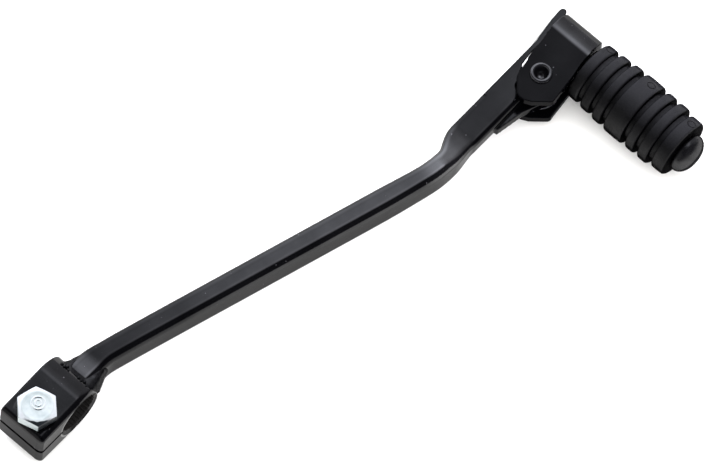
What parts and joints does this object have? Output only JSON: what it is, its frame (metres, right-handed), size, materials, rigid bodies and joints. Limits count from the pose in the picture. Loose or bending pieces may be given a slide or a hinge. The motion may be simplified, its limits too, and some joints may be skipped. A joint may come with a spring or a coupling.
{
  "type": "folding gear shift lever",
  "caption": "Motorcycle gear shift lever: split splined clamp with pinch bolt, welded bent bar and spring-loaded folding toe peg with ribbed rubber.",
  "frame": {"origin": "centre of the splined bore, midway between the clamp's side faces", "axes": "+X along the lever from the shaft clamp to the stop at the tip, +Y along the bore towards the engine, +Z along the pinch bolt towards its head; the toe peg points to -Y"},
  "size_m": [0.1867, 0.0835, 0.0205],
  "materials": {
    "black_paint": "gloss black paint",
    "painted_weld": "gloss black paint over a rippled weld",
    "zinc_steel": "bright zinc plating",
    "black_steel": "smooth black oxide",
    "spring_steel": "dark oiled spring wire",
    "plain_steel": "bare turned steel",
    "pin_black": "semi-gloss black",
    "rubber": "matte moulded rubber"
  },
  "bodies": {
    "lever": {"clamp_boss": "black_paint", "pinch_bolt": "zinc_steel", "arm_bar": "black_paint", "arm_weld": "painted_weld", "thrust_washer": "plain_steel", "torsion_spring": "spring_steel"},
    "toe": {"toe_bracket": "black_paint", "pivot_rivet": "black_steel", "pivot_sleeve": "plain_steel", "toe_pin": "pin_black", "pin_weld": "painted_weld", "toe_rubber": "rubber"}
  },
  "joints": [
    {"name": "toe_fold", "type": "hinge", "parent": "lever", "child": "toe", "pos_m": [0.1508, -0.03215, 0], "axis": [0, 0, -1], "range_deg": [0, 85], "stiffness_Nm_per_rad": 0.12, "springref_deg": -45.84, "deforming": ["torsion_spring"]}
  ]
}
